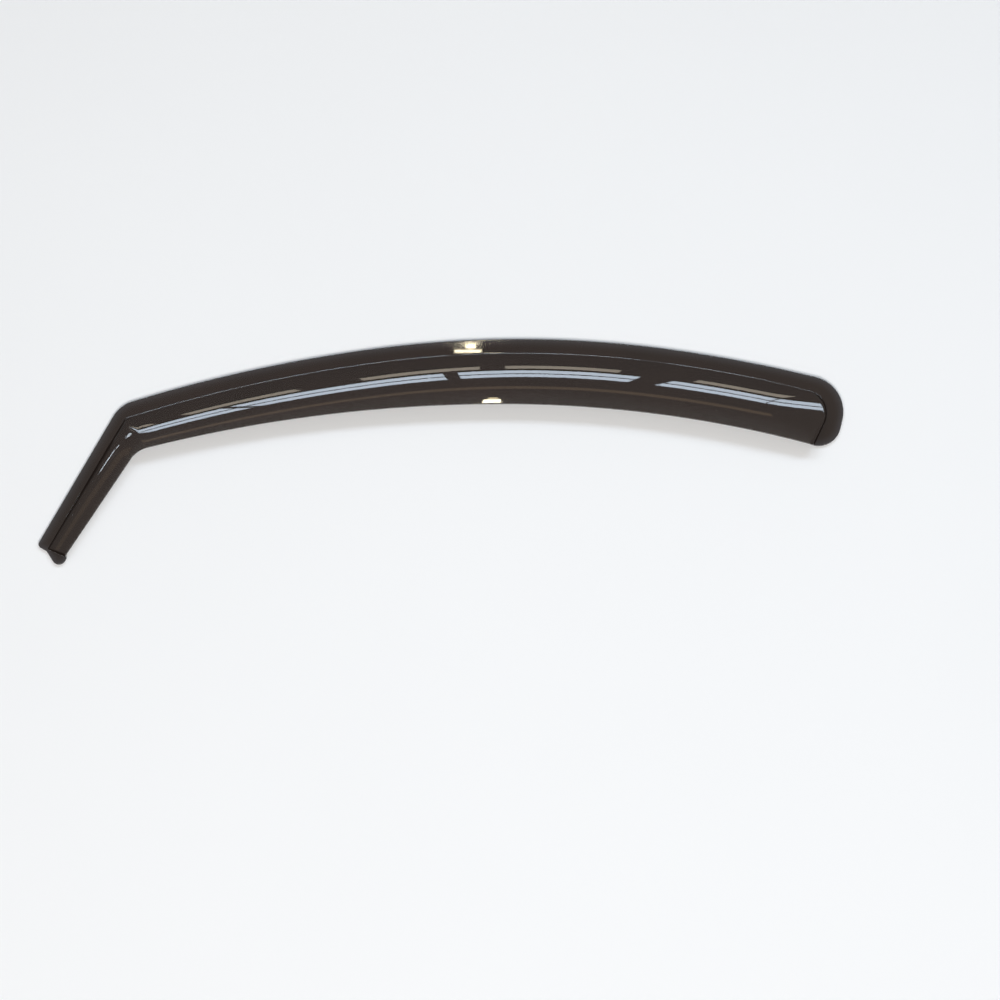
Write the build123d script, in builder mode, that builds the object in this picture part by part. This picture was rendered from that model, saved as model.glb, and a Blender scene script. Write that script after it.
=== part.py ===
"""Window rain deflector for a car's left front door, one thermoformed sheet of smoked acrylic.

Lengths are in millimetres and angles in degrees. X runs along the car towards the rear, Y runs up
the window and Z points out from the glass. The back of the flange lies on Z = 0. A flat flange
follows the window frame, the visor bulges up from a crease inside it and ends in a free edge, and
both ends of the visor are closed by a wall with the flange carried round them.
"""

import os
from math import atan2, cos, degrees, radians, sin, sqrt, tan

from build123d import *

# The sheet
sheet = 3.0
rim_round = 0.8

# Outer edge of the roof run: three tangent arcs about the crown of the arch
crown_x = 78.4
crown_y = 112.5
arch_radius = 1090.0
arch_slope = 7.1
front_radius = 1488.0
front_slope = 17.57
rear_radius = 1416.0
rear_slope = 15.2
run_flange = 14.2

# Free edge of the roof run: two tangent arcs about its own highest point
free_x = 61.3
free_y = 46.9
free_front_radius = 1464.0
free_front_slope = 14.45
free_rear_radius = 1199.0
free_rear_slope = 16.1

# The front leg, down the pillar
leg_slope = 59.5
leg_length = 163.0
leg_flange = 11.2
leg_tip_width = 18.9
leg_corner_round = 34.0
throat_round = 28.0

# The tip of the leg: the flange ends square, and a tab of it reaches round the end wall
tip_wall_inset = 3.0
tip_wall_lean = 7.0
tip_wall_draft = 20.0
tip_wall_round = 2.0
tip_corner_round = 4.0
tab_reach = 6.2
tab_flat = 1.9
tab_side = 2.0
tab_neck = 6.0
tab_inner_round = 7.0
tab_outer_round = 5.0

# The rear end, a thumb-shaped flange round the drafted wall that meets the crease this far from its end
rear_flange = 10.8
rear_wall_lean = 25.0
rear_wall_draft = 6.0
rear_wall_round = 3.5
rear_crease_round = 25.0
rear_upper_round = 36.0
rear_lower_round = 22.5

# Crown of the visor: rise above the flange, slope at the crease and slope at the free edge
tip_rise = 5.0
tip_rise_slope = 74.0
tip_lip_slope = 3.0
leg_rise = 9.0
leg_rise_slope = 70.0
leg_lip_slope = 4.0
bend_rise = 12.5
bend_rise_slope = 50.0
bend_lip_slope = 5.0
front_rise = 14.5
front_rise_slope = 37.0
front_lip_slope = 7.0
run_rise = 16.5
run_rise_slope = 34.0
run_lip_slope = 2.0
rear_rise = 12.5
rear_rise_slope = 27.5
rear_lip_slope = 1.5
crown_tension = 0.68

# Stations along the visor, the stretch of the run that sinks to the rear wall, and the slope of the
# run from which its crown is full
fan_steps = 2
run_steps = 10
rear_steps = 6
rear_stretch = 70.0
full_crown_slope = 4.0

# Spare length of the forming shapes past the sheet they shape
run_out = 14.0
lip_spare = 0.12
foot_spare = 2.6
crease_spare = 0.35


def turn(slope):
    """Unit vector at a slope, in degrees up from +X."""
    return Vector(cos(radians(slope)), sin(radians(slope)))


def inward(slope):
    """Unit vector square to a slope, on the side of the free edge."""
    return Vector(sin(radians(slope)), -cos(radians(slope)))


def arch_arc(slope):
    """Centre and radius of the outer edge's arc at this slope, positive ahead of the crown."""
    middle = Vector(crown_x, crown_y) + inward(0) * arch_radius
    if abs(slope) <= arch_slope:
        return middle, arch_radius
    end_radius = front_radius if slope > 0 else rear_radius
    end_slope = arch_slope if slope > 0 else -arch_slope
    return middle + inward(end_slope) * (end_radius - arch_radius), end_radius


def arch_point(slope, inset=0.0):
    """Point of the outer edge where it has this slope, moved in towards the free edge."""
    centre, radius = arch_arc(slope)
    return centre - inward(slope) * (radius - inset)


def free_point(slope):
    """Point of the free edge where it has this slope."""
    radius = free_front_radius if slope > 0 else free_rear_radius
    return Vector(free_x, free_y) + inward(0) * radius - inward(slope) * radius


def line_reach(point, along, other, other_along):
    """Distance from a point, along a direction, to another line."""
    gap = other - point
    square = Vector(other_along.Y, -other_along.X)
    return gap.dot(square) / along.dot(square)


def circle_reach(point, along, centre, radius):
    """Distance from a point, along a direction, to where it leaves a circle."""
    offset = point - centre
    half = offset.dot(along)
    return sqrt(half**2 - offset.dot(offset) + radius**2) - half


def slope_about(centre, point):
    """Slope of an arc about this centre where it passes the line from the centre to a point."""
    return degrees(atan2(centre.X - point.X, point.Y - centre.Y))


def mix(start, end, share):
    """Tuple of values this share of the way between two tuples."""
    return tuple(a + (b - a) * share for a, b in zip(start, end))


# Corners of the plan, before they are rounded
down_leg = turn(leg_slope) * -1
across_leg = inward(leg_slope)
bend_corner = arch_point(front_slope)
tip_corner = bend_corner + down_leg * leg_length
tip_kink = tip_corner + across_leg * leg_flange
rear_top = arch_point(-rear_slope)
rear_bottom = free_point(-free_rear_slope)
throat = free_point(free_front_slope)
leg_heel = tip_kink + across_leg * leg_tip_width - down_leg * tab_neck
tab_heel = leg_heel + across_leg * tab_side + down_leg * tab_side
tab_end = tip_kink + across_leg * (leg_tip_width + tab_side) + down_leg * tab_reach
tab_front = tab_end - across_leg * (tab_inner_round + tab_flat)

with BuildSketch() as outline:
    with BuildLine():
        ThreePointArc(bend_corner, arch_point((front_slope + arch_slope) / 2), arch_point(arch_slope))
        ThreePointArc(arch_point(arch_slope), arch_point(0), arch_point(-arch_slope))
        ThreePointArc(arch_point(-arch_slope), arch_point(-(rear_slope + arch_slope) / 2), rear_top)
        Line(rear_top, rear_bottom)
        ThreePointArc(rear_bottom, free_point(-free_rear_slope / 2), free_point(0))
        ThreePointArc(free_point(0), free_point(free_front_slope / 2), throat)
        Polyline(throat, leg_heel, tab_heel, tab_end, tab_front, tip_kink, tip_corner, bend_corner)
    make_face()
    corner_rounds = (
        (bend_corner, leg_corner_round),
        (rear_top, rear_upper_round),
        (rear_bottom, rear_lower_round),
        (throat, throat_round),
        (tab_end, tab_inner_round),
        (tab_front, tab_outer_round),
        (tip_corner, tip_corner_round),
    )
    for corner, radius in corner_rounds:
        fillet(outline.vertices().sort_by_distance(corner)[0], radius)

# The crease, and the pivot that the visor's sections turn about at the bend
front_centre, front_arc_radius = arch_arc(front_slope)
crease_reach = circle_reach(tip_kink, down_leg * -1, front_centre, front_arc_radius - run_flange)
crease_corner = tip_kink - down_leg * crease_reach
pivot = outline.edges().filter_by(GeomType.CIRCLE).sort_by_distance(throat)[0].arc_center
bend_slope = slope_about(front_centre, crease_corner)
fan_slope = slope_about(front_centre, pivot)
fan_reach = (pivot - crease_corner).dot(down_leg)

# Crown of the visor at the stations that shape it: rise, slope at the crease, slope at the lip
tip_crown = (tip_rise, tip_rise_slope, tip_lip_slope)
leg_crown = (leg_rise, leg_rise_slope, leg_lip_slope)
bend_crown = (bend_rise, bend_rise_slope, bend_lip_slope)
front_crown = (front_rise, front_rise_slope, front_lip_slope)
run_crown = (run_rise, run_rise_slope, run_lip_slope)
rear_crown = (rear_rise, rear_rise_slope, rear_lip_slope)


def station_across(point, direction, width, crown):
    """Section plane at a point of the crease, with the width and crown of the visor there."""
    plane = Plane(origin=(point.X, point.Y, 0), x_dir=direction, z_dir=(direction.Y, -direction.X, 0))
    return plane, width, crown


def leg_station(reach):
    """Station on the leg, this far down the crease from the bend."""
    point = crease_corner + down_leg * reach
    share = (reach - fan_reach) / (crease_reach - tip_wall_inset - fan_reach)
    width = line_reach(point, across_leg, throat, leg_heel - throat)
    return station_across(point, across_leg, width, mix(leg_crown, tip_crown, min(share, 1.0)))


def fan_station(point, crown):
    """Station at the bend, where the sections turn about the pivot."""
    gap = pivot - point
    return station_across(point, gap.normalized(), gap.length - throat_round, crown)


def run_station(slope, crown):
    """Station on the roof run, where the crease has this slope."""
    point = arch_point(slope, run_flange)
    radius = free_front_radius if slope > 0 else free_rear_radius
    centre = Vector(free_x, free_y) + inward(0) * radius
    width = -circle_reach(point, inward(slope) * -1, centre, radius)
    return station_across(point, inward(slope), width, crown)


def eased(share):
    """Share of a change that starts and ends gently."""
    return share**2 * (3 - 2 * share)


rear_wall_slope = degrees(rear_flange / rear_radius) - rear_slope
rear_start_slope = rear_wall_slope + degrees(rear_stretch / rear_radius)
run_end_slope = -rear_slope - degrees(run_out / rear_radius)
leg_end = crease_reach + run_out
lower_fan_stations = []
upper_fan_stations = []
for step in range(fan_steps + 1):
    share = step / fan_steps
    lower_point = crease_corner + down_leg * fan_reach * (1 - share)
    lower_fan_stations.append(fan_station(lower_point, mix(leg_crown, bend_crown, share)))
    upper_point = arch_point(bend_slope + (fan_slope - bend_slope) * share, run_flange)
    upper_fan_stations.append(fan_station(upper_point, mix(bend_crown, front_crown, share)))
leg_stations = [leg_station(leg_end), lower_fan_stations[0]]
run_stations = [upper_fan_stations[-1]]
for step in range(1, run_steps + 1):
    slope = fan_slope + (rear_start_slope - fan_slope) * step / run_steps
    share = min((fan_slope - slope) / (fan_slope - full_crown_slope), 1.0)
    run_stations.append(run_station(slope, mix(front_crown, run_crown, share)))
rear_stations = [run_stations[-1]]
for step in range(1, rear_steps + 1):
    share = step / rear_steps
    slope = rear_start_slope + (run_end_slope - rear_start_slope) * share
    rear_stations.append(run_station(slope, mix(run_crown, rear_crown, eased(share))))


def between(points, first, second, third):
    """Blossom of a cubic curve's four control points."""
    for share in (first, second, third):
        points = [a + (b - a) * share for a, b in zip(points, points[1:])]
    return points[0]


def crown_curve(width, crown, depth):
    """Control points of the visor's section, this deep in the sheet, run out past both its ends."""
    rise, rise_slope, lip_slope = crown
    up, over = turn(rise_slope), turn(lip_slope)
    start = Vector(depth * tan(radians(rise_slope / 2)), sheet - depth)
    end = Vector(width, sheet + rise) + inward(lip_slope) * depth
    start_handle = up * (crown_tension * line_reach(start, up, end, over))
    end_handle = over * (crown_tension * line_reach(end, over * -1, start, up))
    points = [start, start + start_handle, end - end_handle, end]
    foot = -foot_spare / (3 * start_handle.Y)
    lip = 1 + lip_spare
    spread = ((foot, foot, foot), (foot, foot, lip), (foot, lip, lip), (lip, lip, lip))
    return [between(points, *shares) for shares in spread]


# Drafted wall that closes the tip of the leg, as a plane that faces outwards
tip_foot = tip_kink - down_leg * tip_wall_inset
tip_out = turn(leg_slope + tip_wall_lean) * -1
tip_wall = Plane(
    origin=(tip_foot.X, tip_foot.Y, sheet),
    z_dir=(tip_out.X, tip_out.Y, tan(radians(tip_wall_draft))),
)


def lofted(stations, depth):
    """Solid under one stretch of the visor's face, at this depth in the sheet."""
    with BuildPart() as stretch:
        for plane, width, crown in stations:
            with BuildSketch(plane):
                curve = crown_curve(width, crown, depth)
                with BuildLine():
                    Bezier(*curve)
                    Polyline(curve[-1], (curve[-1].X, curve[0].Y), curve[0])
                make_face()
        loft()
    return stretch.part


def leg_block(depth):
    """Solid under the leg's face at this depth, cut off by the tip's wall, whose rim is rolled over."""
    face = tip_wall.offset(-depth)
    with BuildPart() as closed:
        add(lofted(leg_stations, depth))
        split(bisect_by=face, keep=Keep.BOTTOM)
        if tip_wall_round > depth:
            end_face = closed.faces().filter_by(GeomType.PLANE).sort_by_distance(face.origin)[0]
            fillet(end_face.edges().sort_by(Axis.Z)[-1], tip_wall_round - depth)
    return closed.part


def rear_plug(depth):
    """Drafted solid inside the rear wall at this depth, with its corner rounded into the crease."""
    along = turn(rear_wall_slope)
    wall_down = inward(-rear_wall_lean)
    wall_out = turn(-rear_wall_lean)
    widening = foot_spare * tan(radians(rear_wall_draft))
    crease_inset = depth * tan(radians(run_rise_slope / 2)) - crease_spare - widening
    wall_inset = depth * tan(radians((90 - rear_wall_draft) / 2)) - widening
    corner = arch_point(rear_wall_slope, run_flange)
    corner += wall_down * (crease_inset / wall_down.dot(inward(rear_wall_slope)))
    corner -= along * (wall_inset / along.dot(wall_out))
    ahead = along * (-2 * rear_stretch)
    below = wall_down * (2 * (crown_y - free_y))
    with BuildPart() as plug:
        with BuildSketch(Plane.XY.offset(sheet - depth - foot_spare)) as foot:
            with BuildLine():
                Polyline(corner, corner + ahead, corner + ahead + below, corner + below, close=True)
            make_face()
            fillet(foot.vertices().sort_by_distance(corner)[0], rear_crease_round - wall_inset)
        extrude(amount=foot_spare + 2 * run_rise, taper=rear_wall_draft)
    return plug.part


def rear_block(depth):
    """Solid under the rear of the roof run at this depth, closed by the wall with its rolled rim."""
    with BuildPart() as closed:
        add(lofted(rear_stations, depth))
        add(rear_plug(depth), mode=Mode.INTERSECT)
        if rear_wall_round > depth:
            corner_face = closed.faces().filter_by(GeomType.CONE)[0]
            fillet(corner_face.edges().filter_by(GeomType.BSPLINE), rear_wall_round - depth)
    return closed.part


def forming_block(depth):
    """Solid under the whole of the visor's face at this depth in the sheet."""
    with BuildPart() as block:
        add(leg_block(depth))
        add(lofted(lower_fan_stations, depth))
        add(lofted(upper_fan_stations, depth))
        add(lofted(run_stations, depth))
        add(rear_block(depth))
    return block.part


outer_block = forming_block(0)
inner_block = forming_block(sheet)
plan_centre = outline.sketch.bounding_box().center()

# The sheet: a plate with a rounded rim, formed up into the visor and trimmed to the outline
with BuildPart() as formed_sheet:
    add(outline.sketch)
    extrude(amount=sheet)
    fillet(formed_sheet.faces().sort_by(Axis.Z)[-1].edges(), rim_round)
    add(outer_block)
    add(inner_block, mode=Mode.SUBTRACT)
    add(outline.sketch)
    extrude(amount=sheet + 2 * run_rise, mode=Mode.INTERSECT)

# The finished piece, with its origin under the middle of its plan
with BuildPart() as deflector:
    add(formed_sheet.part.moved(Location((-plan_centre.X, -plan_centre.Y, 0))))

deflector.part.label = "deflector"
os.makedirs("parts", exist_ok=True)
export_step(deflector.part, "parts/deflector.step")
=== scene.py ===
"""Dresses the window rain deflector as one formed sheet of smoked acrylic on a pale studio floor.

The sheet's plan is drawn in millimetres, with X towards the rear of the car, Y up the window and Z out
from the glass. Its mesh is in metres, in the frame of the CAD part that it replaces.
"""

import logging
from dataclasses import dataclass, field, replace
from enum import Enum
from itertools import product
from math import atan2, cos, degrees, hypot, pi, radians, sin, sqrt, tan

import bpy
import numpy as np
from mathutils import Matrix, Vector
from mathutils.kdtree import KDTree


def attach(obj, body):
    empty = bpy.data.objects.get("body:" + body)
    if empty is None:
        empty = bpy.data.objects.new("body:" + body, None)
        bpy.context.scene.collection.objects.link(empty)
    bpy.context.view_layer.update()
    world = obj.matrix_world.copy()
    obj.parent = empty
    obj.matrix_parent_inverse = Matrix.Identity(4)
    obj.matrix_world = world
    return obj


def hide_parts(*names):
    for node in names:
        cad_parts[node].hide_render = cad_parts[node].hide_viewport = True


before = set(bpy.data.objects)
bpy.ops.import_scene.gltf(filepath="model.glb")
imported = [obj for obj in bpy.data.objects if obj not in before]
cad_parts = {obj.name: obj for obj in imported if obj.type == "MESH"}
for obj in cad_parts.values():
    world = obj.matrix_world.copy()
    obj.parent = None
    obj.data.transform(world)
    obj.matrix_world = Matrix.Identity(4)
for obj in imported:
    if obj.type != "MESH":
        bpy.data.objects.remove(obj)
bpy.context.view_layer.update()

Array = np.ndarray
Span = tuple[float, float]
Place = tuple[float, float, float]
Colour = tuple[float, ...]
LOG = logging.getLogger("deflector")
MM = 0.001
NEWTON_STEPS = 6
HAIR = 0.002
TABLE_END = 1.3
TABLE_COUNT = 66


def heading(slope: float) -> Array:
    """Unit vector at a slope, in degrees up from +X."""
    return np.array((cos(radians(slope)), sin(radians(slope))))


def inward(slope: float) -> Array:
    """Unit vector square to a slope, on the side of the free edge."""
    return np.array((sin(radians(slope)), -cos(radians(slope))))


def line_reach(point: Array, along: Array, other: Array, other_along: Array) -> float:
    """Distance from a point to another line.

    Args:
        point: Where the distance starts.
        along: Unit direction in which it is measured.
        other: A point of the other line.
        other_along: Direction of the other line.

    Returns:
        The distance in millimetres.
    """
    square = np.array((other_along[1], -other_along[0]))
    return float((other - point) @ square / (along @ square))


def circle_reach(point: Array, along: Array, centre: Array, radius: float) -> float:
    """Distance from a point to where it leaves a circle.

    Args:
        point: Where the distance starts.
        along: Unit direction in which it is measured.
        centre: Centre of the circle.
        radius: Radius of the circle.

    Returns:
        The distance in millimetres.
    """
    offset = point - centre
    half = float(offset @ along)
    return sqrt(half**2 - float(offset @ offset) + radius**2) - half


def slope_about(centre: Array, point: Array) -> float:
    """Slope of an arc about this centre where it passes the line from the centre to a point."""
    return degrees(atan2(centre[0] - point[0], point[1] - centre[1]))


def smooth_step(low: float | Array, high: float | Array, value: Array) -> Array:
    """Smooth change from 0 at the low value to 1 at the high one."""
    share = np.clip((value - low) / (high - low), 0.0, 1.0)
    return share * share * (3.0 - 2.0 * share)


def smooth_floor(value: Array, softness: Array) -> Array:
    """The larger of a height and zero, with the corner between them rounded.

    Args:
        value: Heights in millimetres.
        softness: Height over which the corner is rounded, in millimetres.

    Returns:
        Heights of zero and more.
    """
    overlap = np.clip(softness - np.abs(value), 0.0, None) / softness
    return np.maximum(value, 0.0) + overlap**2 * softness / 4.0


def smooth_through(keys: Array, values: Array, at: Array) -> Array:
    """Smooth curve through key values that never overshoots them.

    Args:
        keys: Rising places of the keys.
        values: Value at each key.
        at: Places to work the curve out for.

    Returns:
        The curve's values.
    """
    gaps = np.diff(keys)
    rates = np.diff(values) / gaps
    steady = rates[:-1] * rates[1:] > 0
    before = np.where(steady, rates[:-1], 1.0)
    after = np.where(steady, rates[1:], 1.0)
    slopes = np.zeros(len(keys))
    slopes[1:-1] = np.where(steady, 2.0 / (1.0 / before + 1.0 / after), 0.0)
    place = np.clip(at, keys[0], keys[-1])
    index = np.clip(np.searchsorted(keys, place) - 1, 0, len(gaps) - 1)
    gap = gaps[index]
    share = (place - keys[index]) / gap
    rest = 1.0 - share
    ends = values[index] * rest**2 * (1.0 + 2.0 * share) + values[index + 1] * share**2 * (1.0 + 2.0 * rest)
    return ends + gap * share * rest * (slopes[index] * rest - slopes[index + 1] * share)


class Curving(Enum):
    """Which way an arc of the plan bends, as the sign of the depth inside its circle."""

    ROUND = 1.0
    HOLLOW = -1.0


class Face(Enum):
    """The two faces of the sheet."""

    OUTER = "outer"
    INNER = "inner"


class Mask(Enum):
    """Shares that the mesh's points hold for the finish and for the painted shade and highlight, by their
    names there.
    """

    RUBBED = "rubbed_band"
    CUT = "cut_edge"
    # Painted shade: the steep walls' darker, unreflecting face.
    STEEP = "steep_face"
    # Painted highlight: a pale line along the crease's hollow.
    CREASE_HIGHLIGHT = "crease_line"


def arc_points(centre: Array, first: Array, last: Array, step: float) -> Array:
    """Points along an arc, the short way round.

    Args:
        centre: Centre of the arc.
        first: Where the arc starts.
        last: Where it ends.
        step: Longest distance between points.

    Returns:
        One row for each point, without the last one.
    """
    start = atan2(first[1] - centre[1], first[0] - centre[0])
    sweep = atan2(last[1] - centre[1], last[0] - centre[0]) - start
    sweep = (sweep + pi) % (2.0 * pi) - pi
    radius = hypot(first[0] - centre[0], first[1] - centre[1])
    count = max(2, round(abs(sweep) * radius / step))
    angles = start + sweep * np.arange(count) / count
    return centre + radius * np.column_stack((np.cos(angles), np.sin(angles)))


@dataclass(frozen=True)
class StraightSide:
    """Straight side of the plan, with the sheet on its right."""

    start: Array
    end: Array

    def into(self, point: Array) -> Array:
        """Unit vector into the sheet."""
        along = (self.end - self.start) / np.linalg.norm(self.end - self.start)
        return np.array((along[1], -along[0]))

    def depth(self, point: Array) -> float:
        """Distance of a point inside this side."""
        return float((point - self.start) @ self.into(point))

    def nearest(self, point: Array) -> Array:
        """Point of the side nearest to a point."""
        return point - self.into(point) * self.depth(point)

    def walk(self, first: Array, last: Array, step: float) -> Array:
        """Points along the side, without the last one."""
        count = max(2, round(float(np.linalg.norm(last - first)) / step))
        return first + (last - first) * (np.arange(count) / count)[:, None]


@dataclass(frozen=True)
class ArcSide:
    """Side of the plan that is an arc of a circle."""

    centre: Array
    radius: float
    curving: Curving

    def into(self, point: Array) -> Array:
        """Unit vector into the sheet."""
        offset = self.centre - point
        return self.curving.value * offset / np.linalg.norm(offset)

    def depth(self, point: Array) -> float:
        """Distance of a point inside this side."""
        return self.curving.value * (self.radius - float(np.linalg.norm(point - self.centre)))

    def nearest(self, point: Array) -> Array:
        """Point of the side nearest to a point."""
        return point - self.into(point) * self.depth(point)

    def walk(self, first: Array, last: Array, step: float) -> Array:
        """Points along the side, without the last one."""
        return arc_points(self.centre, first, last, step)


PlanSide = StraightSide | ArcSide


def rounding_centre(before: PlanSide, after: PlanSide, corner: Array, radius: float) -> Array:
    """Centre of the circle that rounds a corner of the plan.

    Args:
        before: The side that ends at the corner.
        after: The side that starts there.
        corner: Where the two sides meet.
        radius: Radius of the rounding, negative for a hollow corner.

    Returns:
        The centre, as deep inside both sides as the radius.
    """
    centre = corner
    for _ in range(NEWTON_STEPS):
        directions = np.array((before.into(centre), after.into(centre)))
        misses = np.array((before.depth(centre) - radius, after.depth(centre) - radius))
        centre = centre - np.linalg.solve(directions, misses)
    return centre


@dataclass(frozen=True)
class Corner:
    """End of a side of the plan, and the radius that rounds it."""

    point: Array
    radius: float = 0.0


@dataclass
class Outline:
    """Closed plan of the sheet, made of sides and rounded corners, taken clockwise."""

    sides: list[PlanSide]
    corners: list[Corner]
    step: float = 0.4
    points: Array = field(init=False)
    tree: KDTree = field(init=False)

    def __post_init__(self) -> None:
        """Works out the points of the plan and a tree to find them in."""
        stretches = []
        for number, side in enumerate(self.sides):
            first = self.touch(number - 1, side)
            last = self.touch(number, side)
            stretches.append(side.walk(first, last, self.step))
            corner = self.corners[number]
            if corner.radius:
                after = self.sides[(number + 1) % len(self.sides)]
                centre = self.centre(number)
                stretches.append(arc_points(centre, last, after.nearest(centre), self.step))
        self.points = np.vstack(stretches)
        self.tree = KDTree(len(self.points))
        for number, point in enumerate(self.points):
            self.tree.insert((point[0], point[1], 0.0), number)
        self.tree.balance()

    def centre(self, number: int) -> Array:
        """Centre of the rounding at the end of a side.

        Args:
            number: Number of the side.

        Returns:
            The centre.
        """
        after = self.sides[(number + 1) % len(self.sides)]
        corner = self.corners[number]
        return rounding_centre(self.sides[number], after, corner.point, corner.radius)

    def touch(self, number: int, side: PlanSide) -> Array:
        """Where a side meets the corner of this number, after its rounding."""
        corner = self.corners[number]
        return side.nearest(self.centre(number)) if corner.radius else corner.point

    def middle(self) -> Array:
        """Middle of the plan's box."""
        return (self.points.min(0) + self.points.max(0)) / 2.0

    def span(self, point: Array, along: Array) -> tuple[float, float]:
        """First and last crossing of the plan by a line.

        Args:
            point: A point of the line.
            along: Unit direction of the line.

        Returns:
            The two distances from the point.
        """
        offsets = self.points - point
        sides = offsets @ np.array((along[1], -along[0]))
        reaches = offsets @ along
        next_sides = np.roll(sides, -1)
        crossing = np.flatnonzero((sides < 0) != (next_sides < 0))
        share = sides[crossing] / (sides[crossing] - next_sides[crossing])
        found = reaches[crossing] + (np.roll(reaches, -1)[crossing] - reaches[crossing]) * share
        return float(found.min()), float(found.max())

    def edge_distance(self, point: Array) -> float:
        """Distance from a point of the sheet to its edge.

        Args:
            point: Plan of the point.

        Returns:
            The distance in millimetres.
        """
        _, number, _ = self.tree.find((point[0], point[1], 0.0))
        nearest = []
        for start in (number - 1, number):
            first = self.points[start]
            run = self.points[(start + 1) % len(self.points)] - first
            share = min(max(float((point - first) @ run / (run @ run)), 0.0), 1.0)
            nearest.append(float(np.linalg.norm(point - first - run * share)))
        return min(nearest)


@dataclass(frozen=True)
class Crown:
    """Form of the visor across one station: its rise, and its slopes at the crease and the lip."""

    rise: float
    slope: float
    lip_slope: float


@dataclass(frozen=True)
class Section:
    """Cubic curve of the visor across one station, on one face of the sheet."""

    controls: Array
    slope: float

    @classmethod
    def across(cls, width: float, crown: Crown, depth: float, sheet: float, tension: float) -> "Section":
        """Makes the curve for one station.

        Args:
            width: Distance from the crease to the free edge.
            crown: Form of the visor there.
            depth: How deep in the sheet the face lies.
            sheet: Thickness of the sheet.
            tension: Share of the way to the crossing of its end tangents that each handle takes.

        Returns:
            The section.
        """
        up = heading(crown.slope)
        over = heading(crown.lip_slope)
        start = np.array((depth * tan(radians(crown.slope / 2.0)), sheet - depth))
        end = np.array((width, sheet + crown.rise)) + inward(crown.lip_slope) * depth
        first = start + up * tension * line_reach(start, up, end, over)
        second = end - over * tension * line_reach(end, -over, start, up)
        return cls(np.array((start, first, second, end)), crown.slope)

    def at(self, share: Array) -> Array:
        """Points of the curve.

        Args:
            share: Shares of the way along it.

        Returns:
            One row for each point.
        """
        rest = 1.0 - share
        weights = np.stack((rest**3, 3.0 * rest**2 * share, 3.0 * rest * share**2, share**3), axis=-1)
        return weights @ self.controls

    def share_at(self, reach: Array) -> Array:
        """Where the curve passes these distances from the crease.

        Args:
            reach: Distances from the crease.

        Returns:
            Shares of the way along the curve.
        """
        table = np.linspace(0.0, TABLE_END, TABLE_COUNT)
        share = np.interp(reach, self.at(table)[:, 0], table)
        hulls = np.diff(self.controls[:, 0])
        for _ in range(NEWTON_STEPS):
            rest = 1.0 - share
            rate = 3.0 * (hulls[0] * rest**2 + 2.0 * hulls[1] * rest * share + hulls[2] * share**2)
            share = share - (self.at(share)[:, 0] - reach) / rate
        return share

    def height(self, reach: Array) -> Array:
        """Heights of the curve, with a straight run-out before it.

        Args:
            reach: Distances from the crease.

        Returns:
            Heights above the back of the flange.
        """
        start = self.controls[0]
        curve = self.at(self.share_at(np.maximum(reach, start[0])))[:, 1]
        straight = start[1] + (reach - start[0]) * tan(radians(self.slope))
        return np.where(reach > start[0], curve, straight)


@dataclass(frozen=True)
class EndWall:
    """Drafted wall that closes one end of the visor, with a rolled rim."""

    foot: Array
    out: Array
    draft: float
    rim: float

    @property
    def angle(self) -> float:
        """Slope of the wall, in radians."""
        return radians(90.0 - self.draft)

    def inset(self, sheet: float) -> float:
        """How far the foot moves in on the inner face of the sheet."""
        return sheet * tan(self.angle / 2.0)

    def inner(self, sheet: float) -> "EndWall":
        """The same wall on the inner face of the sheet."""
        foot = self.foot - self.out * self.inset(sheet)
        return replace(self, foot=foot, rim=max(self.rim - sheet, HAIR))

    def inside(self, points: Array) -> Array:
        """Distances of points inside the wall's foot."""
        return (self.foot - points) @ self.out

    def cap(self, points: Array, rise: Array) -> tuple[Array, Array]:
        """Heights under the wall.

        Args:
            points: Plan of the points, one row each.
            rise: Heights of the visor there with no wall.

        Returns:
            Heights with the wall and its rolled rim, and how steeply they fall towards the wall.
        """
        steepest = tan(self.angle)
        inside = self.inside(points)
        reach = self.rim * tan(self.angle / 2.0)
        rim_end = rise / steepest + reach
        on_wall = inside < rim_end - reach * (1.0 + cos(self.angle))
        past = np.clip(rim_end - inside, 0.0, self.rim * sin(self.angle))
        level = np.sqrt(self.rim**2 - past**2)
        heights = np.where(on_wall, inside * steepest, rise + level - self.rim)
        return heights, np.where(on_wall, steepest, past / level)


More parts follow.
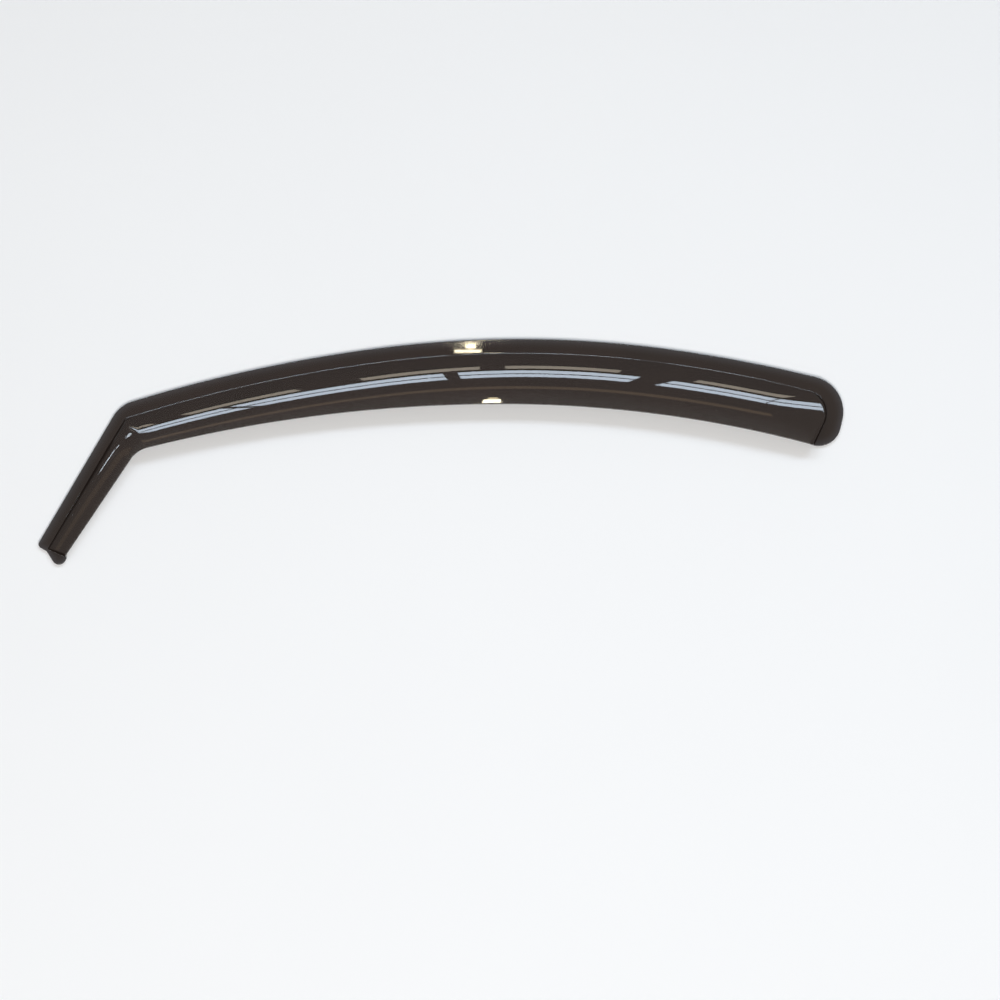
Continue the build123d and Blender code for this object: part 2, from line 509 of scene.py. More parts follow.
@dataclass(frozen=True)
class RearWall(EndWall):
    """End wall with its foot at a corner, which is rounded into the crease."""

    crease_in: Array
    crease_slope: float
    corner_round: float

    @property
    def along(self) -> Array:
        """Unit vector along the crease, towards the rear."""
        return np.array((-self.crease_in[1], self.crease_in[0]))

    @property
    def down(self) -> Array:
        """Unit vector down the foot of the wall."""
        return np.array((self.out[1], -self.out[0]))

    @property
    def pivot(self) -> Array:
        """Centre of the rounded corner."""
        square = np.array((self.crease_in, -self.out))
        return self.foot + np.linalg.solve(square, np.full(2, self.corner_round))

    @property
    def corner_reach(self) -> float:
        """Length of the crease that the rounded corner takes up."""
        return float((self.foot - self.pivot) @ self.along)

    def moved(self, crease_inset: float, wall_inset: float) -> "RearWall":
        """The same wall with the two sides of its corner moved in.

        Args:
            crease_inset: How far the side along the crease moves.
            wall_inset: How far the wall moves.

        Returns:
            The moved wall.
        """
        down_reach = crease_inset / float(self.down @ self.crease_in)
        front_reach = wall_inset / float(self.along @ self.out)
        return replace(self, foot=self.foot + self.down * down_reach - self.along * front_reach)

    def inner(self, sheet: float) -> "RearWall":
        """The same wall on the inner face of the sheet.

        Args:
            sheet: Thickness of the sheet.

        Returns:
            The inner wall.
        """
        inset = self.inset(sheet)
        wall = self.moved(sheet * tan(radians(self.crease_slope / 2.0)), inset)
        return replace(wall, rim=max(self.rim - sheet, HAIR), corner_round=self.corner_round - inset)

    def inside(self, points: Array) -> Array:
        """Distances of points inside the wall's foot and its rounded corner.

        Args:
            points: Plan of the points, one row each.

        Returns:
            One distance for each point.
        """
        crease_side = (points - self.foot) @ self.crease_in
        wall_side = (self.foot - points) @ self.out
        offset = points - self.pivot
        cornered = (offset @ self.along > 0.0) & (offset @ self.down < 0.0)
        rounded = self.corner_round - np.linalg.norm(offset, axis=1)
        return np.where(cornered, rounded, np.minimum(crease_side, wall_side))


@dataclass(frozen=True)
class RoofRun:
    """Long stretch of the sheet under the roof: arcs of its outer edge and of its free edge."""

    crown_x: float = 78.4
    crown_y: float = 112.5
    arch_radius: float = 1090.0
    arch_slope: float = 7.1
    front_radius: float = 1488.0
    front_slope: float = 17.57
    rear_radius: float = 1416.0
    rear_slope: float = 15.2
    flange: float = 14.2
    free_x: float = 61.3
    free_y: float = 46.9
    free_front_radius: float = 1464.0
    free_front_slope: float = 14.45
    free_rear_radius: float = 1199.0
    free_rear_slope: float = 16.1
    full_crown_slope: float = 4.0

    def arc(self, slope: float) -> tuple[Array, float]:
        """Arc of the outer edge.

        Args:
            slope: Slope of the edge in degrees, positive ahead of the crown.

        Returns:
            The arc's centre and its radius.
        """
        middle = np.array((self.crown_x, self.crown_y)) + inward(0.0) * self.arch_radius
        if abs(slope) <= self.arch_slope:
            return middle, self.arch_radius
        radius = self.front_radius if slope > 0 else self.rear_radius
        end_slope = self.arch_slope if slope > 0 else -self.arch_slope
        return middle + inward(end_slope) * (radius - self.arch_radius), radius

    def outer_point(self, slope: float, inset: float = 0.0) -> Array:
        """Point of the outer edge where it has this slope, moved in towards the free edge."""
        centre, radius = self.arc(slope)
        return centre - inward(slope) * (radius - inset)

    def free_arc(self, slope: float) -> tuple[Array, float]:
        """Centre and radius of the free edge's arc at a slope."""
        radius = self.free_front_radius if slope > 0 else self.free_rear_radius
        return np.array((self.free_x, self.free_y)) + inward(0.0) * radius, radius

    def free_point(self, slope: float) -> Array:
        """Point of the free edge where it has this slope."""
        centre, radius = self.free_arc(slope)
        return centre - inward(slope) * radius

    def width(self, slope: float) -> float:
        """Width of the visor, from the crease to the free edge, where the crease has this slope."""
        centre, radius = self.free_arc(slope)
        return -circle_reach(self.outer_point(slope, self.flange), -inward(slope), centre, radius)


@dataclass(frozen=True)
class FrontLeg:
    """Leg of the sheet down the pillar, with its end wall and the tab that reaches round it."""

    slope: float = 59.5
    length: float = 163.0
    flange: float = 11.2
    tip_width: float = 18.9
    corner_round: float = 34.0
    throat_round: float = 28.0
    wall_inset: float = 3.0
    wall_lean: float = 7.0
    wall_draft: float = 20.0
    wall_rim: float = 2.0
    tip_corner_round: float = 4.0
    tab_reach: float = 6.2
    tab_flat: float = 1.9
    tab_side: float = 2.0
    tab_neck: float = 6.0
    tab_inner_round: float = 7.0
    tab_outer_round: float = 5.0

    @property
    def down(self) -> Array:
        """Unit vector down the leg."""
        return -heading(self.slope)

    @property
    def across(self) -> Array:
        """Unit vector across the leg, towards its free edge."""
        return inward(self.slope)


@dataclass(frozen=True)
class RearEnd:
    """Rear end of the sheet, a thumb-shaped flange round the drafted wall that meets its crease."""

    flange: float = 10.8
    wall_lean: float = 25.0
    wall_draft: float = 6.0
    wall_rim: float = 3.5
    crease_round: float = 25.0
    crease_spare: float = 0.35
    upper_round: float = 36.0
    lower_round: float = 22.5
    sink_ahead: float = 70.0
    sink_past: float = 24.8


@dataclass(frozen=True)
class Crowns:
    """Crown of the visor at its key stations, from the tip of the leg to past the rear wall."""

    tip: Crown = Crown(5.0, 74.0, 3.0)
    leg: Crown = Crown(9.0, 70.0, 4.0)
    bend: Crown = Crown(12.5, 50.0, 5.0)
    front: Crown = Crown(14.5, 37.0, 7.0)
    run: Crown = Crown(16.5, 34.0, 2.0)
    rear: Crown = Crown(12.5, 27.5, 1.5)
    tension: float = 0.68


@dataclass(frozen=True)
class Station:
    """Line across the sheet: its point on the crease, its direction and the width of the visor."""

    foot: Array
    across: Array
    width: float


@dataclass(frozen=True)
class Signal:
    """Output of a shader node that takes part in Python expressions."""

    graph: "Graph"
    socket: bpy.types.NodeSocket

    def __add__(self, other: "Signal | float") -> "Signal":
        """Sum of two values."""
        return self.graph.maths("ADD", self, other)

    def __radd__(self, other: float) -> "Signal":
        """Sum of a number and a value."""
        return self.graph.maths("ADD", other, self)

    def __sub__(self, other: "Signal | float") -> "Signal":
        """Difference of two values."""
        return self.graph.maths("SUBTRACT", self, other)

    def __rsub__(self, other: float) -> "Signal":
        """A number less a value."""
        return self.graph.maths("SUBTRACT", other, self)

    def __mul__(self, other: "Signal | float") -> "Signal":
        """Product of two values."""
        return self.graph.maths("MULTIPLY", self, other)

    def __rmul__(self, other: float) -> "Signal":
        """Product of a number and a value."""
        return self.graph.maths("MULTIPLY", other, self)


Value = Signal | float | Colour


@dataclass
class Graph:
    """Node tree of a material or the world, filled by expressions."""

    tree: bpy.types.NodeTree

    def add(self, kind: str, settings: dict[str, object], inputs: dict[str | int, Value]) -> bpy.types.Node:
        """Adds a node.

        Args:
            kind: Type name of the node.
            settings: Properties of the node, set first.
            inputs: Values or links of its sockets, by name or number.

        Returns:
            The node.
        """
        node = self.tree.nodes.new(kind)
        for name, value in settings.items():
            setattr(node, name, value)
        for name, value in inputs.items():
            if isinstance(value, Signal):
                self.tree.links.new(value.socket, node.inputs[name])
            else:
                node.inputs[name].default_value = value
        return node

    def signal(
        self, kind: str, output: str | int, settings: dict[str, object], inputs: dict[str | int, Value]
    ) -> Signal:
        """Adds a node and returns one of its outputs."""
        return Signal(self, self.add(kind, settings, inputs).outputs[output])

    def mask(self, mask: Mask) -> Signal:
        """Share that the mesh's points hold."""
        return self.signal("ShaderNodeAttribute", "Fac", {"attribute_name": mask.value}, {})

    def maths(self, operation: str, *values: Value) -> Signal:
        """Adds a Math node."""
        return self.signal("ShaderNodeMath", 0, {"operation": operation}, dict(enumerate(values)))

    def ramp(self, value: Signal, low: float, high: float) -> Signal:
        """Smooth change of a value from 0 at the low end to 1 at the high end."""
        settings = {"interpolation_type": "SMOOTHSTEP"}
        return self.signal("ShaderNodeMapRange", 0, settings, {0: value, 1: low, 2: high, 3: 0.0, 4: 1.0})

    def blend(self, share: Signal, first: Value, second: Value) -> Signal:
        """Colour between two colours."""
        inputs = {"Factor": share, 6: first, 7: second}
        return self.signal("ShaderNodeMix", 2, {"data_type": "RGBA"}, inputs)

    def noise(self, place: Signal, scale: float, detail: float) -> Signal:
        """Soft noise at a place."""
        return self.signal("ShaderNodeTexNoise", 0, {}, {"Vector": place, "Scale": scale, "Detail": detail})


def new_material(name: str) -> tuple[bpy.types.Material, Graph, bpy.types.Node]:
    """Makes an empty material.

    Args:
        name: Name of the material.

    Returns:
        The material, its graph and its output node.
    """
    material = bpy.data.materials.new(name)
    material.use_nodes = True
    material.node_tree.nodes.clear()
    graph = Graph(material.node_tree)
    return material, graph, graph.add("ShaderNodeOutputMaterial", {}, {})


@dataclass(frozen=True)
class SmokedAcrylic:
    """See-through dark acrylic with a polished face, a rubbed flange, fine dust and hairlines, painted shade
    on its steep walls and a painted highlight along its crease.
    """

    deep: Colour = (0.028, 0.020, 0.016, 1.0)
    warm: Colour = (0.038, 0.025, 0.019, 1.0)
    # Darker tint of the steep walls: painted shade, for the dark they mirror and the long path through the
    # sheet there.
    steep_shade_tint: Colour = (0.012, 0.009, 0.008, 1.0)
    # Pale colour of the rubbed flange's frost, also used for the painted highlight along the crease.
    frost_and_highlight: Colour = (0.10, 0.098, 0.105, 1.0)
    frost_share: float = 0.5
    # Share of that pale colour in the painted highlight along the crease.
    crease_highlight_share: float = 0.55
    worn_least: float = 0.7
    worn_grain: float = 0.6
    rubbed_haze: float = 0.25
    body_alpha: float = 0.84
    gloss_roughness: float = 0.016
    rubbed_roughness: float = 0.055
    cut_roughness: float = 0.10
    steep_roughness: float = 0.5
    index: float = 1.49
    specular_level: float = 0.9
    cloud_scale: float = 14.0
    cloud_detail: float = 3.0
    cloud_middle: float = 0.5
    cloud_alpha: float = 0.04
    grain_scale: float = 2200.0
    grain_detail: float = 2.0
    grain_relief: float = 0.002
    ripple_scale: float = 16.0
    ripple_detail: float = 1.0
    bump_strength: float = 0.025
    bump_distance: float = 0.0006
    dust: Colour = (0.42, 0.40, 0.38, 1.0)
    dust_scale: float = 90.0
    dust_radii: Span = (0.02, 0.05)
    patch_scale: float = 31.5
    patch_detail: float = 1.0
    patch_levels: Span = (0.60, 0.66)
    dust_share: float = 0.5
    dust_roughness: float = 0.3
    dust_alpha: float = 0.2
    hairline_turn: float = 0.3
    hairline_scale: Place = (6.0, 900.0, 60.0)
    hairline_detail: float = 2.0
    hairline_levels: Span = (0.62, 0.72)
    hairline_roughness: float = 0.02

    def dress(self, piece: bpy.types.Object) -> None:
        """Gives a piece this finish.

        Args:
            piece: The piece, whose points hold the masks.
        """
        material, graph, output = new_material("smoked_acrylic")
        place = graph.signal("ShaderNodeTexCoord", "Object", {}, {})
        cloud = graph.noise(place, self.cloud_scale, self.cloud_detail)
        gloss = self.gloss(graph, place, cloud)
        painted_shade_wall = self.painted_shade_wall(graph, cloud)
        # The steep walls take the painted shade shader.
        inputs = {0: graph.mask(Mask.STEEP), 1: gloss, 2: painted_shade_wall}
        surface = graph.signal("ShaderNodeMixShader", 0, {}, inputs)
        graph.tree.links.new(surface.socket, output.inputs["Surface"])
        piece.data.materials.append(material)

    def specks(self, graph: Graph, place: Signal) -> Signal:
        """Specks of dust, in a few patches.

        Args:
            graph: The node tree.
            place: Place on the piece.

        Returns:
            1 on a speck and 0 elsewhere.
        """
        inputs = {"Vector": place, "Scale": self.dust_scale}
        cell = graph.signal("ShaderNodeTexVoronoi", "Distance", {}, inputs)
        patch = graph.noise(place, self.patch_scale, self.patch_detail)
        return (1.0 - graph.ramp(cell, *self.dust_radii)) * graph.ramp(patch, *self.patch_levels)

    def hairlines(self, graph: Graph, place: Signal) -> Signal:
        """Fine scratches along the sheet.

        Args:
            graph: The node tree.
            place: Place on the piece.

        Returns:
            1 on a scratch and 0 elsewhere.
        """
        turn = (0.0, 0.0, self.hairline_turn)
        inputs = {"Vector": place, "Rotation": turn, "Scale": self.hairline_scale}
        stretched = graph.signal("ShaderNodeMapping", 0, {}, inputs)
        return graph.ramp(graph.noise(stretched, 1.0, self.hairline_detail), *self.hairline_levels)

    def gloss(self, graph: Graph, place: Signal, cloud: Signal) -> Signal:
        """Polished, see-through face with its rubbed flange, dust, hairlines and the painted highlight along
        the crease.

        Args:
            graph: The node tree.
            place: Place on the piece.
            cloud: Soft noise of the tint.

        Returns:
            The shader.
        """
        rubbed, cut, crease = (graph.mask(mask) for mask in (Mask.RUBBED, Mask.CUT, Mask.CREASE_HIGHLIGHT))
        speck, hairline = self.specks(graph, place), self.hairlines(graph, place)
        grain = graph.noise(place, self.grain_scale, self.grain_detail)
        ripple = graph.noise(place, self.ripple_scale, self.ripple_detail)
        worn = rubbed * rubbed * (self.worn_least + self.worn_grain * grain)
        # The crease's pale line is a painted highlight, standing in for the reflection along it.
        frost_and_highlight_share = worn * self.frost_share + crease * self.crease_highlight_share
        tint = graph.blend(frost_and_highlight_share, graph.blend(cloud, self.deep, self.warm), self.frost_and_highlight)
        hazy = (rubbed * self.rubbed_haze + worn) * self.rubbed_roughness + cut * self.cut_roughness
        marked = hairline * self.hairline_roughness + speck * self.dust_roughness
        clouded = self.body_alpha + (cloud - self.cloud_middle) * self.cloud_alpha
        relief = ripple + grain * rubbed * self.grain_relief
        bump = {"Height": relief, "Strength": self.bump_strength, "Distance": self.bump_distance}
        inputs = {
            "Base Color": graph.blend(speck * self.dust_share, tint, self.dust),
            "Roughness": hazy + marked + self.gloss_roughness,
            "IOR": self.index,
            "Specular IOR Level": self.specular_level,
            "Alpha": speck * self.dust_alpha + clouded,
            "Normal": graph.signal("ShaderNodeBump", 0, {}, bump),
        }
        return graph.signal("ShaderNodeBsdfPrincipled", 0, {}, inputs)

    def painted_shade_wall(self, graph: Graph, cloud: Signal) -> Signal:
        """Painted shade on the steep walls: a darker, opaque matt face with no reflection, partly the long
        path through the sheet there, partly standing in for the dark that the walls mirror.

        Args:
            graph: The node tree.
            cloud: Soft noise of the tint.

        Returns:
            The shader.
        """
        shaded = graph.blend(cloud, self.steep_shade_tint, self.deep)
        inputs = {"Base Color": shaded, "Roughness": self.steep_roughness, "Specular IOR Level": 0.0}
        return graph.signal("ShaderNodeBsdfPrincipled", 0, {}, inputs)


@dataclass(frozen=True)
class Layout:
    """All stations of the sheet in order, and the crown of the visor at each one past the tab."""

    tab: list[Station]
    body: list[Station]
    crowns: list[Crown]
    rear_start: int


@dataclass
class Deflector:
    """The whole formed sheet: flange, crease, visor, closed ends, leg and tab."""

    sheet: float = 3.0
    rim_round: float = 0.8
    back_round: float = 0.4
    rim_turns: int = 6
    rim_run_in: Span = (1.3, 1.9)
    crease_reach: float = 0.65
    crease_shares: tuple[float, ...] = (0.3, 0.7, 1.1, 1.7, 2.8)
    wall_foot_reach: float = 0.5
    frost_band: float = 10.0
    flat_rise: Span = (0.2, 1.2)
    cut_from: float = 0.1
    # crease_low to crease_slopes place the painted highlight along the crease; steep_tilts to tip_earlier
    # place the painted shade on the steep faces.
    crease_low: float = 0.06
    crease_high: Span = (0.2, 0.5)
    crease_slopes: Span = (42.0, 62.0)
    steep_tilts: Span = (37.0, 50.0)
    tip_slopes: Span = (66.0, 74.0)
    tip_earlier: float = 12.0
    run_step: float = 3.0
    bend_step: float = 0.8
    end_step: float = 0.3
    tip_step: float = 0.15
    tip_stretch: float = 9.0
    rear_stretch: float = 100.0
    entry_step: float = 0.05
    flange_columns: int = 8
    visor_columns: int = 46
    run: RoofRun = RoofRun()
    leg: FrontLeg = FrontLeg()
    rear: RearEnd = RearEnd()
    crowns: Crowns = Crowns()
    finish: SmokedAcrylic = SmokedAcrylic()
    throat: Array = field(init=False)
    kink: Array = field(init=False)
    heel: Array = field(init=False)
    rear_side: StraightSide = field(init=False)
    outline: Outline = field(init=False)
    pivot: Array = field(init=False)
    crease_length: float = field(init=False)
    crease_corner: Array = field(init=False)
    bend_slope: float = field(init=False)
    fan_slope: float = field(init=False)
    fan_reach: float = field(init=False)
    wall_slope: float = field(init=False)
    rear_wall: RearWall = field(init=False)
    walls: list[EndWall] = field(init=False)

    def __post_init__(self) -> None:
        """Works out the plan, the crease and the two end walls."""
        self.lay_plan()
        self.lay_crease()
        self.lay_walls()

    def lay_plan(self) -> None:
        """Works out the sides and the corners of the plan."""
        run, leg, rear = self.run, self.leg, self.rear
        bend = run.outer_point(run.front_slope)
        tip_corner = bend + leg.down * leg.length
        rear_top = run.outer_point(-run.rear_slope)
        rear_bottom = run.free_point(-run.free_rear_slope)
        self.throat = run.free_point(run.free_front_slope)
        self.kink = tip_corner + leg.across * leg.flange
        self.heel = self.kink + leg.across * leg.tip_width - leg.down * leg.tab_neck
        self.rear_side = StraightSide(rear_top, rear_bottom)
        tab_heel = self.heel + (leg.across + leg.down) * leg.tab_side
        tab_end = self.kink + leg.across * (leg.tip_width + leg.tab_side) + leg.down * leg.tab_reach
        tab_front = tab_end - leg.across * (leg.tab_inner_round + leg.tab_flat)
        free_front = ArcSide(*run.free_arc(run.free_front_slope), Curving.HOLLOW)
        leg_free = StraightSide(self.throat, self.heel)
        sides: list[PlanSide] = [
            ArcSide(*run.arc(run.front_slope), Curving.ROUND),
            ArcSide(*run.arc(0.0), Curving.ROUND),
            ArcSide(*run.arc(-run.rear_slope), Curving.ROUND),
            self.rear_side,
            ArcSide(*run.free_arc(-run.free_rear_slope), Curving.HOLLOW),
            free_front,
            leg_free,
            StraightSide(self.heel, tab_heel),
            StraightSide(tab_heel, tab_end),
            StraightSide(tab_end, tab_front),
            StraightSide(tab_front, self.kink),
            StraightSide(self.kink, tip_corner),
            StraightSide(tip_corner, bend),
        ]
        corners = [
            Corner(run.outer_point(run.arch_slope)),
            Corner(run.outer_point(-run.arch_slope)),
            Corner(rear_top, rear.upper_round),
            Corner(rear_bottom, rear.lower_round),
            Corner(run.free_point(0.0)),
            Corner(self.throat, -leg.throat_round),
            Corner(self.heel),
            Corner(tab_heel),
            Corner(tab_end, leg.tab_inner_round),
            Corner(tab_front, leg.tab_outer_round),
            Corner(self.kink),
            Corner(tip_corner, leg.tip_corner_round),
            Corner(bend, leg.corner_round),
        ]
        self.outline = Outline(sides, corners)
        self.pivot = rounding_centre(free_front, leg_free, self.throat, -leg.throat_round)

    def lay_crease(self) -> None:
        """Works out the crease's corner at the bend, and its slopes there and at the rear wall."""
        run, leg = self.run, self.leg
        front_centre, front_radius = run.arc(run.front_slope)
        self.crease_length = circle_reach(self.kink, -leg.down, front_centre, front_radius - run.flange)
        self.crease_corner = self.kink - leg.down * self.crease_length
        self.bend_slope = slope_about(front_centre, self.crease_corner)
        self.fan_slope = slope_about(front_centre, self.pivot)
        self.fan_reach = float((self.pivot - self.crease_corner) @ leg.down)
        self.wall_slope = degrees(self.rear.flange / run.rear_radius) - run.rear_slope

    def lay_walls(self) -> None:
        """Works out the walls that close the rear end and the tip of the leg."""
        run, leg, rear = self.run, self.leg, self.rear
        rear_wall = RearWall(
            foot=run.outer_point(self.wall_slope, run.flange),
            out=heading(-rear.wall_lean),
            draft=rear.wall_draft,
            rim=rear.wall_rim,
            crease_in=inward(self.wall_slope),
            crease_slope=self.crowns.run.slope,
            corner_round=rear.crease_round,
        )
        self.rear_wall = rear_wall.moved(-rear.crease_spare, 0.0)
        tip_foot = self.kink - leg.down * leg.wall_inset
        tip_out = -heading(leg.slope + leg.wall_lean)
        self.walls = [self.rear_wall, EndWall(tip_foot, tip_out, leg.wall_draft, leg.wall_rim)]

    @property
    def crease_column(self) -> int:
        """Number of the column at the crease."""
        return len(self.rim_steps()) + self.flange_columns + len(self.crease_shares)

    def rim_steps(self) -> Array:
        """Distances from the edge of the sheet at which its rounding is followed, and two past it."""
        turns = np.radians(np.linspace(0.0, 90.0, self.rim_turns))
        return self.rim_round * np.append(1.0 - np.cos(turns), self.rim_run_in)

    def rim_depths(self) -> Array:
        """Depths of the stations that follow the rounding at an end of the sheet."""
        return np.append(HAIR, self.rim_steps()[1:])

    def crease_steps(self) -> Array:
        """Distances from the crease at which its hollow is followed."""
        return self.crease_reach * np.array(self.crease_shares)

    def leg_station(self, reach: float) -> Station:
        """Station on the leg.

        Args:
            reach: Distance down the crease from the bend.

        Returns:
            The station.
        """
        foot = self.crease_corner + self.leg.down * reach
        width = line_reach(foot, self.leg.across, self.throat, self.heel - self.throat)
        return Station(foot, self.leg.across, width)

    def fan_station(self, foot: Array) -> Station:
        """Station at the bend, where the lines across turn about the pivot.

        Args:
            foot: Its point on the crease.

        Returns:
            The station.
        """
        gap = self.pivot - foot
        length = float(np.linalg.norm(gap))
        return Station(foot, gap / length, length - self.leg.throat_round)

    def run_station(self, slope: float, across: Array) -> Station:
        """Station on the roof run, where the crease has this slope."""
        return Station(self.run.outer_point(slope, self.run.flange), across, self.run.width(slope))

    def tab_stations(self) -> list[Station]:
        """Stations of the tab past the tip of the leg.

        Returns:
            The stations, from the end of the tab to the tip.
        """
        rims, reach = self.rim_depths(), self.leg.tab_reach
        inner = np.arange(rims[-1] + self.end_step, reach, self.end_step)
        depths = np.concatenate((rims, inner))
        return [self.leg_station(self.crease_length + reach - depth) for depth in depths]

    def leg_stations(self) -> list[Station]:
        """Stations of the leg, closest together at its wall.

        Returns:
            The stations, from the tip up to the start of the bend.
        """
        rims = self.rim_depths()
        wall = np.arange(rims[-1] + self.tip_step, self.tip_stretch, self.tip_step)
        length = self.crease_length - self.fan_reach
        count = round((length - wall[-1]) / self.run_step)
        rest = np.linspace(wall[-1], length, count + 1)[1:]
        depths = np.concatenate((rims, wall, rest))
        return [self.leg_station(self.crease_length - depth) for depth in depths]

    def bend_stations(self) -> tuple[list[Station], list[Station]]:
        """Stations of the bend.

        Returns:
            Those up to the crease's corner, and those from it to the roof run.
        """
        lower_count = round(self.fan_reach / self.bend_step)
        reaches = np.linspace(self.fan_reach, 0.0, lower_count + 1)[1:]
        lower = [self.fan_station(self.crease_corner + self.leg.down * reach) for reach in reaches]
        length = radians(self.bend_slope - self.fan_slope) * self.run.front_radius
        upper_count = round(length / self.bend_step)
        slopes = np.linspace(self.bend_slope, self.fan_slope, upper_count + 1)[1:]
        upper = [self.fan_station(self.run.outer_point(slope, self.run.flange)) for slope in slopes]
        return lower, upper

    def run_stations(self) -> list[Station]:
        """Stations of the roof run.

        Returns:
            The stations, from the bend to some way ahead of the rear wall.
        """
        end_slope = self.wall_slope + degrees(self.rear_stretch / self.run.rear_radius)
        length = radians(self.fan_slope - end_slope) * self.run.rear_radius
        count = round(length / self.run_step)
        slopes = np.linspace(self.fan_slope, end_slope, count + 1)[1:]
        return [self.run_station(slope, inward(slope)) for slope in slopes]

    def rear_stations(self) -> list[Station]:
        """Stations of the rear end, which turn into line with its straight edge.

        Returns:
            The stations, from ahead of the wall to the rear edge.
        """
        start = self.wall_slope + degrees(self.rear_stretch / self.run.rear_radius)
        end_along = self.rear_side.end - self.rear_side.start
        end_along = end_along / np.linalg.norm(end_along)
        stop = start
        for _ in range(NEWTON_STEPS):
            depth = self.rear_side.depth(self.run.outer_point(stop, self.run.flange))
            stop = stop - degrees(depth / self.run.rear_radius)
        length = radians(start - stop) * self.run.rear_radius
        rims = self.rim_depths()
        wall_end = length - self.rear_stretch + self.rear_wall.corner_reach
        walled = np.arange(rims[-1] + self.end_step, wall_end, self.end_step)
        open_count = round((length - walled[-1]) / self.run_step)
        ahead = np.linspace(walled[-1], length, open_count + 1)[1:-1]
        stations = []
        for depth in np.concatenate((rims, walled, ahead))[::-1]:
            slope = stop + degrees(depth / self.run.rear_radius)
            share = depth / length
            across = inward(slope) * share + end_along * (1.0 - share)
            stations.append(self.run_station(slope, across / np.linalg.norm(across)))
        return stations

    def layout(self) -> Layout:
        """Lays out all the stations and their crowns.

        Returns:
            The layout.
        """
        leg, rear = self.leg_stations(), self.rear_stations()
        lower, upper = self.bend_stations()
        body = [*leg, *lower, *upper, *self.run_stations(), *rear]
        full_foot = self.run.outer_point(self.run.full_crown_slope, self.run.flange)
        wall_number = int(np.argmin([abs(station.width - self.leg.tip_width) for station in leg]))
        fan_number = len(leg) - 1
        bend_number = fan_number + len(lower)
        front_number = bend_number + len(upper)
        full_number = int(np.argmin([np.linalg.norm(station.foot - full_foot) for station in body]))
        keys = [wall_number, fan_number, bend_number, front_number, full_number, len(body) - 1]
        return Layout(self.tab_stations(), body, self.station_crowns(body, keys), len(body) - len(rear))

    def station_crowns(self, stations: list[Station], key_numbers: list[int]) -> list[Crown]:
        """Crowns of the visor that change smoothly along the sheet.

        Args:
            stations: All stations from the tip of the leg to the rear end.
            key_numbers: Numbers of the stations that have the key crowns.

        Returns:
            One crown for each station.
        """
        middles = np.array([station.foot + station.across * station.width / 2.0 for station in stations])
        path = np.concatenate(((0.0,), np.cumsum(np.linalg.norm(np.diff(middles, axis=0), axis=1))))
        crowns = self.crowns
        keyed = (crowns.tip, crowns.leg, crowns.bend, crowns.front, crowns.run, crowns.run)
        keys = path[key_numbers]
        rises = smooth_through(keys, np.array([crown.rise for crown in keyed]), path)
        slopes = smooth_through(keys, np.array([crown.slope for crown in keyed]), path)
        lips = smooth_through(keys, np.array([crown.lip_slope for crown in keyed]), path)
        return [Crown(*values) for values in zip(rises, slopes, lips)]

    def section(self, station: Station, crown: Crown, face: Face) -> Section:
        """Section of the visor at a station, on one face of the sheet."""
        return Section.across(station.width, crown, self.depth(face), self.sheet, self.crowns.tension)

    def depth(self, face: Face) -> float:
        """Depth of a face in the sheet."""
        return 0.0 if face is Face.OUTER else self.sheet

    def sink(self, points: Array) -> Array:
        """Shares by which the crown has sunk to the rear one.

        Args:
            points: Plan of the points, one row each.

        Returns:
            Shares from 0 to 1, by how far along the crease the points lie.
        """
        centre, radius = self.run.arc(-self.run.rear_slope)
        angles = np.arctan2(points[:, 0] - centre[0], points[:, 1] - centre[1])
        past = (angles + radians(self.wall_slope)) * radius
        return smooth_step(-self.rear.sink_ahead, self.rear.sink_past, past)

    def rises(self, station: Station, crown: Crown, reaches: Array, face: Face) -> tuple[Array, Array]:
        """Heights of the visor above the flange, with its walls but before the crease is rounded.

        Args:
            station: The line across the sheet.
            crown: Form of the visor there.
            reaches: Distances from the crease.
            face: The face to work out.

        Returns:
            The heights, and how steeply they fall towards an end wall.
        """
        points = station.foot + reaches[:, None] * station.across
        full = self.section(station, crown, face).height(reaches)
        low = self.section(station, self.crowns.rear, face).height(reaches)
        rise = full + (low - full) * self.sink(points) - self.sheet + self.depth(face)
        capped, steepness = rise, np.zeros_like(rise)
        for wall in self.walls:
            shown = wall if face is Face.OUTER else wall.inner(self.sheet)
            walled, fall = shown.cap(points, rise)
            capped = np.minimum(capped, walled)
            steepness = np.maximum(steepness, fall)
        return capped, steepness

    def heights(self, station: Station, crown: Crown, reaches: Array, face: Face) -> Array:
        """Heights of one face of the sheet along a station.

        Args:
            station: The line across the sheet.
            crown: Form of the visor there.
            reaches: Distances from the crease.
            face: The face to work out.

        Returns:
            Heights above the back of the flange.
        """
        rises, steepness = self.rises(station, crown, reaches, face)
        crease_soft = self.crease_reach * tan(radians(crown.slope))
        softness = np.maximum(crease_soft, self.wall_foot_reach * steepness)
        return self.sheet - self.depth(face) + smooth_floor(rises, softness)

    def entry(self, station: Station, crown: Crown, face: Face) -> float | None:
        """Place where a station passes from the flange into the visor.

        Args:
            station: The line across the sheet.
            crown: Form of the visor there.
            face: The face that the place is for.

        Returns:
            Distance from the crease, or None where the station lies past the rear wall.
        """
        first, last = self.outline.span(station.foot, station.across)
        margin = self.rim_steps()[-1] + self.crease_steps()[-1]
        reaches = np.arange(first + margin, last - margin, self.entry_step)
        rises, _ = self.rises(station, crown, reaches, face)
        raised = np.flatnonzero(rises > 0.0)
        return float(reaches[raised[0]]) if len(raised) else None

